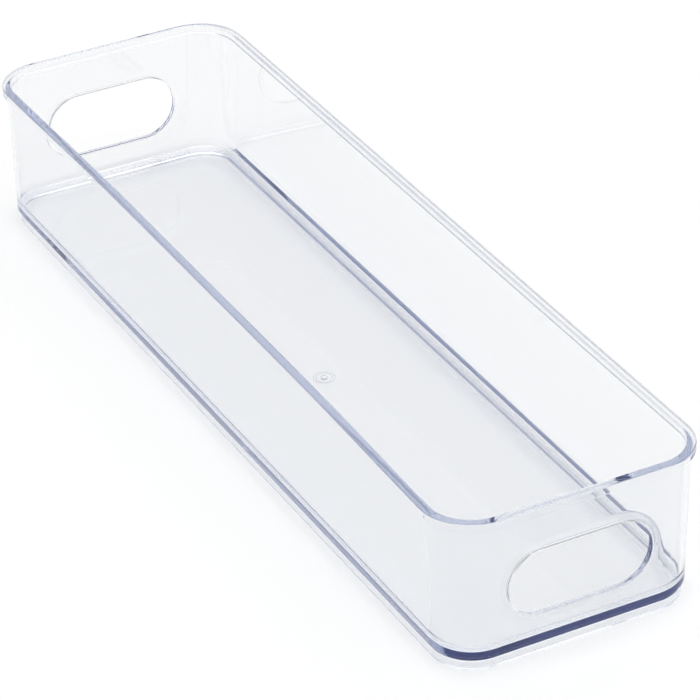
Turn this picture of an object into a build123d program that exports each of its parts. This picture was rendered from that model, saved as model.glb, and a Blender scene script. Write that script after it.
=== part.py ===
"""Clear moulded organizer bin: a long, low, open-topped bin with a handle slot in each end wall.

Millimetres, +Z up. X is the width, Y the length, and the front end looks towards -Y.
The origin is at the middle of the footprint, on the surface that the bin stands on.
The real bin is one moulding. Here it is divided at its moulded features: a floor, a stacking foot,
four straight walls, four rounded corners, a rim lip and a collar round each handle slot.
Neighbouring pieces meet face to face.
"""
import os
from math import cos, radians, sin, tan

from build123d import *

# Overall sizes, measured over the rim
length = 370.0
width = 102.0
height = 60.0
corner_radius = 19.0

# Walls: they lean outwards towards the rim by the draft angle, in degrees
wall = 2.0
draft = 1.2

# Rim lip: it stands out past the walls all round, with rounded edges
lip_overhang = 1.4
lip_height = 3.4
lip_top_round = 0.5
lip_under_round = 0.6
lip_neck_round = 0.65
lip_neck_height = 1.2

# Floor and the fillet between the floor and the walls
floor_thickness = 2.1
floor_clearance = 2.9
inner_fillet = 5.7
root_land = 0.3

# Stacking foot: a ring set in from the walls, so that it drops inside the rim of a bin below
step_height = 5.2
step_width = 1.0
step_round_share = 0.5
foot_inner_corner_share = 0.45
foot_width = 1.45
foot_round = 0.45

# Handle slot and the thickened collar round it: the slot keeps its distance from the rim's top, and the
# collar keeps its distance from the floor's fillet below it and from the rounded corners beside it
slot_below_rim = 17.85
collar_to_root = 1.05
collar_to_corner = 0.55
collar_width = 4.0
collar_bead = 0.28
collar_edge_round = 0.3

# Moulding gate mark under the middle of the floor
gate_diameter = 8.0
gate_ring_width = 0.9
gate_ring_height = 0.3
gate_nub_diameter = 2.4
gate_nub_height = 0.6

# Reach of a cut past what it cuts
cut_overrun = 12.0


def wall_outer(level):
    """Distance from the rim's outer edge in to the wall's outer face, at a height above the table."""
    return lip_overhang + (height - level) * tan(radians(draft))


def wall_inner(level):
    """Distance from the rim's outer edge in to the wall's inner face, at a height above the table."""
    return wall_outer(level) + wall


# Heights and insets that follow from the sizes above
floor_top = floor_clearance + floor_thickness
root_top = floor_top + inner_fillet + root_land
lip_bottom = height - lip_height
rim_bottom = lip_bottom - lip_neck_height
foot_outer = wall_outer(step_height) + step_width
foot_inner = foot_outer + foot_width
floor_edge = wall_inner(floor_top) + inner_fillet + root_land
step_round = step_width * step_round_share
foot_corner_round = step_width * foot_inner_corner_share

# Straight runs between the rounded corners, and the handle slot that fills most of an end's run
side_run = length - 2 * corner_radius
end_run = width - 2 * corner_radius
slot_length = end_run - 2 * (collar_to_corner + collar_width)
slot_bottom = root_top + collar_to_root + collar_width
slot_height = height - slot_below_rim - slot_bottom
slot_centre_height = slot_bottom + slot_height / 2

# Straight sides, in order round the bin. On each section plane, local x runs in from the rim's outer
# edge and local y runs up, and the plane looks along the side.
sides = {
    "right_wall": (Plane((width / 2, -side_run / 2, 0), x_dir=(-1, 0, 0), z_dir=(0, 1, 0)), side_run),
    "rear_wall": (Plane((end_run / 2, length / 2, 0), x_dir=(0, -1, 0), z_dir=(-1, 0, 0)), end_run),
    "left_wall": (Plane((-width / 2, side_run / 2, 0), x_dir=(1, 0, 0), z_dir=(0, -1, 0)), side_run),
    "front_wall": (Plane((-end_run / 2, -length / 2, 0), x_dir=(0, 1, 0), z_dir=(1, 0, 0)), end_run),
}
corner_after = {
    "right_wall": "rear_right_corner",
    "rear_wall": "rear_left_corner",
    "left_wall": "front_left_corner",
    "front_wall": "front_right_corner",
}

# Handle planes: in the middle of each end wall's thickness, leaning with the wall, looking outwards
handle_inset = wall_outer(slot_centre_height) + wall / 2
lean = radians(draft)
handle_planes = {}
for end, outwards in (("front", -1), ("rear", 1)):
    handle_centre = (0, outwards * (length / 2 - handle_inset), slot_centre_height)
    facing_out = (0, outwards * cos(lean), -sin(lean))
    handle_planes[end] = Plane(handle_centre, x_dir=(-outwards, 0, 0), z_dir=facing_out)


def corner_frame(side):
    """Section plane at the far end of a side, and the upright axis of the corner that follows it."""
    plane, run = sides[side]
    end_plane = plane.offset(run)
    centre = end_plane.from_local_coords((corner_radius, 0, 0))
    return end_plane, Axis(centre, (0, 0, 1))


def carried_round(section):
    """Carry a section once round the bin: along the four sides and about the four corner axes."""
    with BuildPart() as ring:
        for side, (plane, run) in sides.items():
            with BuildSketch(plane):
                add(section)
            extrude(amount=run)
            end_plane, corner_axis = corner_frame(side)
            with BuildSketch(end_plane):
                add(section)
            revolve(axis=corner_axis, revolution_arc=90)
    return ring.part


def end_with_slot(solid, handle_plane):
    """Cut the opening for a handle's collar through a piece of an end wall."""
    with BuildPart() as pierced:
        add(solid)
        with BuildSketch(handle_plane):
            SlotOverall(slot_length + 2 * collar_width, slot_height + 2 * collar_width)
        extrude(amount=cut_overrun, both=True, mode=Mode.SUBTRACT)
    return pierced.part


# Sections, drawn with x as the inset from the rim's outer edge and y as the height
with BuildSketch() as wall_section:
    with BuildLine():
        Polyline(
            (wall_outer(root_top), root_top),
            (wall_outer(rim_bottom), rim_bottom),
            (wall_inner(rim_bottom), rim_bottom),
            (wall_inner(root_top), root_top),
            close=True,
        )
    make_face()

rim_corners = [
    ((wall_outer(rim_bottom), rim_bottom), 0),
    ((wall_outer(lip_bottom), lip_bottom), lip_neck_round),
    ((0, lip_bottom), lip_under_round),
    ((0, height), lip_top_round),
    ((wall_inner(height), height), lip_top_round),
    ((wall_inner(rim_bottom), rim_bottom), 0),
]
with BuildSketch() as rim_section:
    with BuildLine():
        FilletPolyline(
            [point for point, _ in rim_corners], radius=[radius for _, radius in rim_corners], close=True
        )
    make_face()

foot_corners = [
    ((wall_outer(root_top), root_top), 0),
    ((wall_outer(step_height), step_height), step_round),
    ((foot_outer, step_height), foot_corner_round),
    ((foot_outer, 0), foot_round),
    ((foot_inner, 0), foot_round),
    ((foot_inner, floor_clearance), foot_round),
    ((floor_edge, floor_clearance), 0),
    ((floor_edge, floor_top), 0),
    ((wall_inner(floor_top), floor_top), inner_fillet),
    ((wall_inner(root_top), root_top), 0),
]
with BuildSketch() as foot_section:
    with BuildLine():
        FilletPolyline(
            [point for point, _ in foot_corners], radius=[radius for _, radius in foot_corners], close=True
        )
    make_face()

# Collar section: x runs out from the slot's edge, y runs through the wall. Each face swells from the
# wall to the slot's edge along an S of two equal arcs.
wall_half = wall * cos(lean) / 2
edge_half = wall_half + collar_bead
with BuildSketch() as collar_section:
    with BuildLine():
        for face in (1, -1):
            half_way = (collar_width / 2, face * (wall_half + edge_half) / 2)
            crown = TangentArc((0, face * edge_half), half_way, tangent=(1, 0))
            TangentArc(half_way, (collar_width, face * wall_half), tangent=crown % 1)
        Line((collar_width, wall_half), (collar_width, -wall_half))
        Line((0, -edge_half), (0, edge_half))
    make_face()
    fillet(collar_section.vertices().group_by(Axis.X)[0], radius=collar_edge_round)

pieces = {}

# Floor panel, with the gate mark on its underside
with BuildPart() as floor_panel:
    with BuildSketch(Plane.XY.offset(floor_clearance)):
        RectangleRounded(width - 2 * floor_edge, length - 2 * floor_edge, corner_radius - floor_edge)
    extrude(amount=floor_thickness)
    with BuildSketch(Plane.XY.offset(floor_clearance)):
        Circle(gate_diameter / 2)
        Circle(gate_diameter / 2 - gate_ring_width, mode=Mode.SUBTRACT)
    extrude(amount=-gate_ring_height)
    with BuildSketch(Plane.XY.offset(floor_clearance)):
        Circle(gate_nub_diameter / 2)
    extrude(amount=-gate_nub_height)
pieces["floor_panel"] = floor_panel.part

pieces["stacking_foot"] = carried_round(foot_section.sketch)
pieces["rim_lip"] = carried_round(rim_section.sketch)

# Straight walls and the rounded corner after each of them
for side, (plane, run) in sides.items():
    with BuildPart() as panel:
        with BuildSketch(plane):
            add(wall_section.sketch)
        extrude(amount=run)
    pieces[side] = panel.part
    end_plane, corner_axis = corner_frame(side)
    with BuildPart() as corner:
        with BuildSketch(end_plane):
            add(wall_section.sketch)
        revolve(axis=corner_axis, revolution_arc=90)
    pieces[corner_after[side]] = corner.part

# Openings for the handle collars, through the end walls and any corner that they reach
for end, handle_plane in handle_planes.items():
    for name in [piece for piece in pieces if piece.startswith(end)]:
        pieces[name] = end_with_slot(pieces[name], handle_plane)

# Handle collars: two straight runs, each followed by a half-round end
slot_run = slot_length - slot_height
for end, handle_plane in handle_planes.items():
    with BuildPart() as collar:
        for across in (handle_plane.x_dir, -handle_plane.x_dir):
            facing = Plane(handle_plane.origin, x_dir=across, z_dir=handle_plane.z_dir)
            run_start = facing.from_local_coords((-slot_run / 2, slot_height / 2, 0))
            run_plane = Plane(run_start, x_dir=facing.y_dir, z_dir=facing.x_dir)
            with BuildSketch(run_plane):
                add(collar_section.sketch)
            extrude(amount=slot_run)
            with BuildSketch(run_plane.offset(slot_run)):
                add(collar_section.sketch)
            end_axis = Axis(facing.from_local_coords((slot_run / 2, 0, 0)), -facing.z_dir)
            revolve(axis=end_axis, revolution_arc=180)
    pieces[f"{end}_handle_collar"] = collar.part

os.makedirs("parts", exist_ok=True)
for name, piece in pieces.items():
    piece.label = name
    export_step(piece, f"parts/{name}.step")
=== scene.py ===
"""Clear moulded organizer bin, dressed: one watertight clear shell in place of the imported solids.

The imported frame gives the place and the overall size. The shell repeats the part's section, in
millimetres, carries it round the rounded corners with a slight bow in the left wall, and opens a
collared handle slot in each end wall.
"""
from math import asin, cos, pi, radians, sin, tan

import bmesh
import bpy
from mathutils import Matrix, Quaternion, Vector


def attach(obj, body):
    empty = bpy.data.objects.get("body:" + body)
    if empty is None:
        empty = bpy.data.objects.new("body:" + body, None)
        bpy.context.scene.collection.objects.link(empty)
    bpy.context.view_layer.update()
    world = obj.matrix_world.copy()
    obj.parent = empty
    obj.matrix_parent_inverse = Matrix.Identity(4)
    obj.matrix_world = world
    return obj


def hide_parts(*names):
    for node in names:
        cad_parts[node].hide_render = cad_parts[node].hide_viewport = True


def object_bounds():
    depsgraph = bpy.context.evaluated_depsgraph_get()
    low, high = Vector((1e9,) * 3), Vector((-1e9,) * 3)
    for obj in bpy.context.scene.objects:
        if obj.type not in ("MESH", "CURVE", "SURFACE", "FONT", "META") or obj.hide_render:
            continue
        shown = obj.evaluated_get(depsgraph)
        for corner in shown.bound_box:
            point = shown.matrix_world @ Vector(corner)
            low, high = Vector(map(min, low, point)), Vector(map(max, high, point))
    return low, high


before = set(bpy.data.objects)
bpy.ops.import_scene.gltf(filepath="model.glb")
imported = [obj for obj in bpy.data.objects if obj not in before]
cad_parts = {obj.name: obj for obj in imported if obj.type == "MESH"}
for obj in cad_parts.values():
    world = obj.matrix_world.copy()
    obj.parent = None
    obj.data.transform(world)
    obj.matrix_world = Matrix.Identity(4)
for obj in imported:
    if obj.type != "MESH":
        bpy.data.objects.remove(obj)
cad_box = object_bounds()

MM = 0.001

# Overall sizes over the rim, in millimetres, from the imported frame
width, length, height = [(high - low) / MM for low, high in zip(*cad_box)]
corner_radius = 19.0

# Walls: they lean out towards the rim by the draft angle
wall = 2.0
draft = radians(1.2)

# Bow of the left wall: how far the middle of its rim has warped in after moulding
left_bow = 1.55

# Rim lip: it stands out past the walls all round
lip_overhang = 1.4
lip_height = 3.4
lip_top_round = 0.5
lip_under_round = 0.6
lip_neck_round = 0.65

# Floor and the fillet between the floor and the walls
floor_thickness = 2.1
floor_clearance = 2.9
inner_fillet = 5.7
root_land = 0.3

# Stacking foot: a ring set in from the walls
step_height = 5.2
step_width = 1.0
step_round_share = 0.5
foot_inner_corner_share = 0.45
foot_width = 1.45
foot_round = 0.45

# Handle slots, and the collar that swells round each of them
slot_below_rim = 17.85
collar_to_root = 1.05
collar_to_corner = 0.55
collar_width = 4.0
collar_bead = 0.28
collar_edge_round = 0.3

# Moulding gate mark under the middle of the floor
gate_radius = 4.0
gate_ring_width = 0.9
gate_ring_height = 0.3
gate_nub_radius = 1.2
gate_nub_height = 0.6
gate_round = 0.1

# Fineness of the mesh
corner_steps = 40
bow_steps = 32
slot_end_steps = 48
gate_steps = 48
crown_steps = 8
fillet_step = radians(6)
fillet_least_steps = 2

# Signs of x and y at the corners, in order round the bin, and the corner that the left wall starts from
corner_signs = ((1, -1), (1, 1), (-1, 1), (-1, -1))
rear_left = (-1, 1)


def wall_outer(level):
    """Inset of the wall's outer face from the rim's outer edge, at a height above the table."""
    return lip_overhang + (height - level) * tan(draft)


def wall_inner(level):
    """Inset of the wall's inner face."""
    return wall_outer(level) + wall


def rounded(corners):
    """Points of an outline whose corners are given as (x, y, radius), with its corners rounded."""
    points = []
    for before, corner, after in zip(corners, corners[1:], corners[2:]):
        here = Vector(corner[:2])
        into = (here - Vector(before[:2])).normalized()
        out = (Vector(after[:2]) - here).normalized()
        turn = into.angle_signed(out)
        reach = corner[2] * tan(abs(turn) / 2)
        if reach == 0:
            points.append(here)
            continue
        side = Vector((into.y, -into.x)) * (1 if turn > 0 else -1)
        centre = here - into * reach + side * corner[2]
        steps = max(fillet_least_steps, round(abs(turn) / fillet_step))
        for step in range(steps + 1):
            spoke = Matrix.Rotation(-turn * step / steps, 2) @ -side
            points.append(centre + spoke * corner[2])
    return [Vector(corners[0][:2]), *points, Vector(corners[-1][:2])]


def bow(share, level):
    """How far in the left wall bows: most at the rim's middle, none at the corners or below the wall."""
    rise = max(0, (level - root_top) / (height - root_top))
    return left_bow * rise * (1 - share ** 4) ** 2


def wall_loop(inset, level):
    """Loop round the bin at an inset from the rim's outer edge, from the front right corner on."""
    radius = corner_radius - inset
    reach = Vector((width / 2 - corner_radius, length / 2 - corner_radius))
    points = []
    for quarter, signs in enumerate(corner_signs):
        across, along = signs
        for step in range(corner_steps + 1):
            angle = (quarter - 1 + step / corner_steps) * pi / 2
            points.append((
                across * reach.x + radius * cos(angle),
                along * reach.y + radius * sin(angle),
                level,
            ))
        if signs == rear_left:
            for step in range(1, bow_steps):
                share = 1 - 2 * step / bow_steps
                points.append((bow(share, level) - reach.x - radius, share * reach.y, level))
    return points


def slot_loop(outwards, margin, depth):
    """Loop round a handle slot, a margin out from its edge and a depth out from the wall's middle."""
    radius = slot_height / 2 + margin
    points = []
    for end in (1, -1):
        for step in range(slot_end_steps + 1):
            angle = -pi / 2 + pi * step / slot_end_steps
            across = end * (slot_run / 2 + radius * cos(angle))
            up = end * radius * sin(angle)
            points.append((
                across,
                outwards * (length / 2 - handle_inset + depth * cos(draft) + up * sin(draft)),
                slot_centre + up * cos(draft) - depth * sin(draft),
            ))
    return points


def circle_loop(radius, level):
    """Loop round the gate mark."""
    turns = [2 * pi * step / gate_steps for step in range(gate_steps)]
    return [(radius * cos(turn), radius * sin(turn), level) for turn in turns]


def add_loop(shell, points):
    """Add a closed loop of points, in millimetres, to the mesh."""
    return [shell.verts.new(Vector(point) * MM) for point in points]


def add_band(shell, first, second, left_open=()):
    """Join two loops with a band of four-sided faces, leaving out the faces at some steps."""
    count = len(first)
    for step in range(count):
        if step not in left_open:
            following = (step + 1) % count
            shell.faces.new((first[step], first[following], second[following], second[step]))


def fill_between(shell, outline, hole):
    """Fill the flat face between an outline and a hole in it."""
    edges = []
    for loop in (outline, hole):
        for first, second in zip(loop, loop[1:] + loop[:1]):
            edges.append(shell.edges.get((first, second)) or shell.edges.new((first, second)))
    bmesh.ops.triangle_fill(shell, edges=edges, use_beauty=True)


# Places that follow from the sizes
floor_top = floor_clearance + floor_thickness
lip_bottom = height - lip_height
foot_outer = wall_outer(step_height) + step_width
foot_inner = foot_outer + foot_width
floor_edge = wall_inner(floor_top) + inner_fillet + root_land
root_top = floor_top + inner_fillet + root_land
step_round = step_width * step_round_share
foot_corner_round = step_width * foot_inner_corner_share
slot_length = width - 2 * corner_radius - 2 * (collar_to_corner + collar_width)
slot_bottom = root_top + collar_to_root + collar_width
slot_height = height - slot_below_rim - slot_bottom
slot_run = slot_length - slot_height
slot_centre = slot_bottom + slot_height / 2
handle_inset = wall_outer(slot_centre) + wall / 2
wall_half = wall * cos(draft) / 2

# Section of the shell, from the underside of the floor round the foot, the wall and the rim to the
# top of the floor
section = rounded([
    (floor_edge, floor_clearance, 0),
    (foot_inner, floor_clearance, foot_round),
    (foot_inner, 0, foot_round),
    (foot_outer, 0, foot_round),
    (foot_outer, step_height, foot_corner_round),
    (wall_outer(step_height), step_height, step_round),
    (wall_outer(lip_bottom), lip_bottom, lip_neck_round),
    (0, lip_bottom, lip_under_round),
    (0, height, lip_top_round),
    (wall_inner(height), height, lip_top_round),
    (wall_inner(floor_top), floor_top, inner_fillet),
    (floor_edge, floor_top, 0),
])

# Section of a collar, from the outer face of the wall over the swelling, through the slot and back.
# The swelling is an S of two equal arcs, level with the wall at one end and with the slot's edge at
# the other.
swell_radius = (collar_width ** 2 + collar_bead ** 2) / (4 * collar_bead)
swell_turn = asin(collar_width / 2 / swell_radius)
swell = []
for step in range(crown_steps):
    turn = swell_turn * step / crown_steps
    swell.append((collar_width - swell_radius * sin(turn), wall_half + swell_radius * (1 - cos(turn))))
for step in range(crown_steps):
    turn = swell_turn * (1 - step / crown_steps)
    swell.append((swell_radius * sin(turn), wall_half + collar_bead - swell_radius * (1 - cos(turn))))
collar_face = [(x, y, 0) for x, y in swell]
collar_edge = [(0, wall_half + collar_bead, collar_edge_round)]
collar_section = rounded([
    *collar_face,
    *collar_edge,
    *[(x, -y, radius) for x, y, radius in reversed(collar_face + collar_edge)],
])

# Section of the gate mark, from the underside of the floor over the ring and the nub
ring_level = floor_clearance - gate_ring_height
nub_level = floor_clearance - gate_nub_height
gate_section = rounded([
    (gate_radius + gate_ring_width, floor_clearance, 0),
    (gate_radius, floor_clearance, gate_round),
    (gate_radius, ring_level, gate_round),
    (gate_radius - gate_ring_width, ring_level, gate_round),
    (gate_radius - gate_ring_width, floor_clearance, gate_round),
    (gate_nub_radius, floor_clearance, gate_round),
    (gate_nub_radius, nub_level, gate_round),
    (gate_nub_radius / 2, nub_level, 0),
])

# The shell: loops round the bin, with the flat faces of the two end walls left open for the slots. A
# loop crosses the rear end (1) after its second corner, and the front end (-1) where it closes. The
# wall's two faces are the stretches of the section that rise by more than half the height.
shell = bmesh.new()
loops = [add_loop(shell, wall_loop(*point)) for point in section]
per_corner = corner_steps + 1
end_steps = {1: 2 * per_corner - 1, -1: len(loops[0]) - 1}
wall_faces = [
    step for step, (here, following) in enumerate(zip(section, section[1:]))
    if abs(following.y - here.y) > height / 2
]
for step, (first, second) in enumerate(zip(loops, loops[1:])):
    add_band(shell, first, second, end_steps.values() if step in wall_faces else ())

# Handle collars in the end walls
for outwards, end_step in end_steps.items():
    collar_loops = [add_loop(shell, slot_loop(outwards, *point)) for point in collar_section]
    for first, second in zip(collar_loops, collar_loops[1:]):
        add_band(shell, first, second)
    for step, hole in zip(wall_faces, (collar_loops[0], collar_loops[-1])):
        low, high = loops[step], loops[step + 1]
        following = (end_step + 1) % len(low)
        fill_between(shell, [low[end_step], low[following], high[following], high[end_step]], hole)

# Floor of the bin: its underside with the gate mark, and its top
gate_loops = [add_loop(shell, circle_loop(*point)) for point in gate_section]
for first, second in zip(gate_loops, gate_loops[1:]):
    add_band(shell, first, second)
fill_between(shell, loops[0], gate_loops[0])
shell.faces.new(gate_loops[-1])
shell.faces.new(loops[-1])

bmesh.ops.recalc_face_normals(shell, faces=shell.faces)
for face in shell.faces:
    face.smooth = True
mesh = bpy.data.meshes.new("clear_bin")
shell.to_mesh(mesh)
shell.free()
clear_bin = bpy.data.objects.new("clear_bin", mesh)
bpy.context.collection.objects.link(clear_bin)
even = clear_bin.modifiers.new("even_normals", "WEIGHTED_NORMAL")
even.mode = "FACE_AREA"

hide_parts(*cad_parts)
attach(clear_bin, "root")

# Clear plastic: it takes red and green out of light that runs a long way inside it. Its polish has the
# faint ripple of a moulding and patches of very fine haze.
plastic_ior = 1.49
surface_colour = (0.951, 0.957, 0.962, 1)
depth_colour = (0.34, 0.43, 0.7, 1)
depth_density = 10.0
ripple_scale = 22
ripple_height = 0.025 * MM
haze_scale = 140
haze_detail = 6
haze_from, haze_to = 0.55, 0.8
haze_roughness = 0.03
plastic = bpy.data.materials.new("clear_plastic_moulded")
plastic.use_nodes = True
nodes, links = plastic.node_tree.nodes, plastic.node_tree.links
shader = nodes["Principled BSDF"]
shader.inputs["Base Color"].default_value = surface_colour
shader.inputs["Transmission Weight"].default_value = 1
shader.inputs["IOR"].default_value = plastic_ior
absorption = nodes.new("ShaderNodeVolumeAbsorption")
absorption.inputs["Color"].default_value = depth_colour
absorption.inputs["Density"].default_value = depth_density
links.new(absorption.outputs["Volume"], nodes["Material Output"].inputs["Volume"])
place = nodes.new("ShaderNodeTexCoord")
ripple = nodes.new("ShaderNodeTexNoise")
ripple.inputs["Scale"].default_value = ripple_scale
bump = nodes.new("ShaderNodeBump")
bump.inputs["Distance"].default_value = ripple_height
links.new(place.outputs["Object"], ripple.inputs["Vector"])
links.new(ripple.outputs["Fac"], bump.inputs["Height"])
links.new(bump.outputs["Normal"], shader.inputs["Normal"])
haze = nodes.new("ShaderNodeTexNoise")
haze.inputs["Scale"].default_value = haze_scale
haze.inputs["Detail"].default_value = haze_detail
patches = nodes.new("ShaderNodeMapRange")
patches.inputs["From Min"].default_value = haze_from
patches.inputs["From Max"].default_value = haze_to
patches.inputs["To Max"].default_value = haze_roughness
links.new(place.outputs["Object"], haze.inputs["Vector"])
links.new(haze.outputs["Fac"], patches.inputs["Value"])
links.new(patches.outputs["Result"], shader.inputs["Roughness"])
mesh.materials.append(plastic)

# Studio floor: a wide sheet of white paper. From here on, sizes and places are in metres
floor_reach = 6.0
paper_white = (0.97, 0.97, 0.97, 1)
paper_roughness = 0.9
paper_gloss = 0.1
floor_mesh = bpy.data.meshes.new("studio_floor")
floor_mesh.from_pydata(
    [(across * floor_reach, along * floor_reach, 0) for across, along in corner_signs],
    [],
    [(0, 1, 2, 3)],
)
studio_floor = bpy.data.objects.new("studio_floor", floor_mesh)
bpy.context.collection.objects.link(studio_floor)
paper = bpy.data.materials.new("studio_paper")
paper.use_nodes = True
paper_shader = paper.node_tree.nodes["Principled BSDF"]
paper_shader.inputs["Base Color"].default_value = paper_white
paper_shader.inputs["Roughness"].default_value = paper_roughness
paper_shader.inputs["Specular IOR Level"].default_value = paper_gloss
floor_mesh.materials.append(paper)

# World: bright walls all round and a darker ceiling
wall_white = (1, 1, 1, 1)
horizon_level = 1.0
ceiling_level = 0.25
world = bpy.data.worlds.new("studio")
bpy.context.scene.world = world
world.use_nodes = True
world_nodes, world_links = world.node_tree.nodes, world.node_tree.links
background = world_nodes["Background"]
background.inputs["Color"].default_value = wall_white
direction = world_nodes.new("ShaderNodeTexCoord")
split = world_nodes.new("ShaderNodeSeparateXYZ")
strength = world_nodes.new("ShaderNodeMapRange")
strength.inputs["To Min"].default_value = horizon_level
strength.inputs["To Max"].default_value = ceiling_level
world_links.new(direction.outputs["Generated"], split.inputs[0])
world_links.new(split.outputs["Z"], strength.inputs["Value"])
world_links.new(strength.outputs["Result"], background.inputs["Strength"])

# Key light: a large soft box overhead, aimed at the bin
key_side = 8.0
key_power = 276
key_place = Vector((0.45, -0.3, 5.4))
key = bpy.data.lights.new("key", "AREA")
key.shape = "SQUARE"
key.size = key_side
key.energy = key_power
key_lamp = bpy.data.objects.new("key", key)
bpy.context.collection.objects.link(key_lamp)
key_lamp.location = key_place
key_lamp.rotation_mode = "QUATERNION"
key_lamp.rotation_quaternion = (-key_place).to_track_quat("-Z", "Y")

# Camera: a long lens, above and to the left of the front end. The lens and the sensor are in millimetres
camera_place = Vector((-0.53306, -1.05069, 0.74089))
camera_target = Vector((-0.00217, -0.02543, 0.03))
camera_roll = radians(-1.3828)
camera_lens = 193.702
camera_sensor = 36
camera = bpy.data.cameras.new("camera")
camera.sensor_width = camera_sensor
camera.lens = camera_lens
camera_object = bpy.data.objects.new("camera", camera)
bpy.context.collection.objects.link(camera_object)
camera_object.location = camera_place
camera_object.rotation_mode = "QUATERNION"
aim = (camera_target - camera_place).to_track_quat("-Z", "Y")
camera_object.rotation_quaternion = aim @ Quaternion((0, 0, 1), camera_roll)
scene = bpy.context.scene
scene.camera = camera_object
scene.view_settings.view_transform = "Standard"

# Light paths: unblurred, with enough bounces for light that runs the whole length of the floor
light_bounces = 160
scene.cycles.blur_glossy = 0
scene.cycles.max_bounces = light_bounces
scene.cycles.transmission_bounces = light_bounces
scene.cycles.glossy_bounces = light_bounces
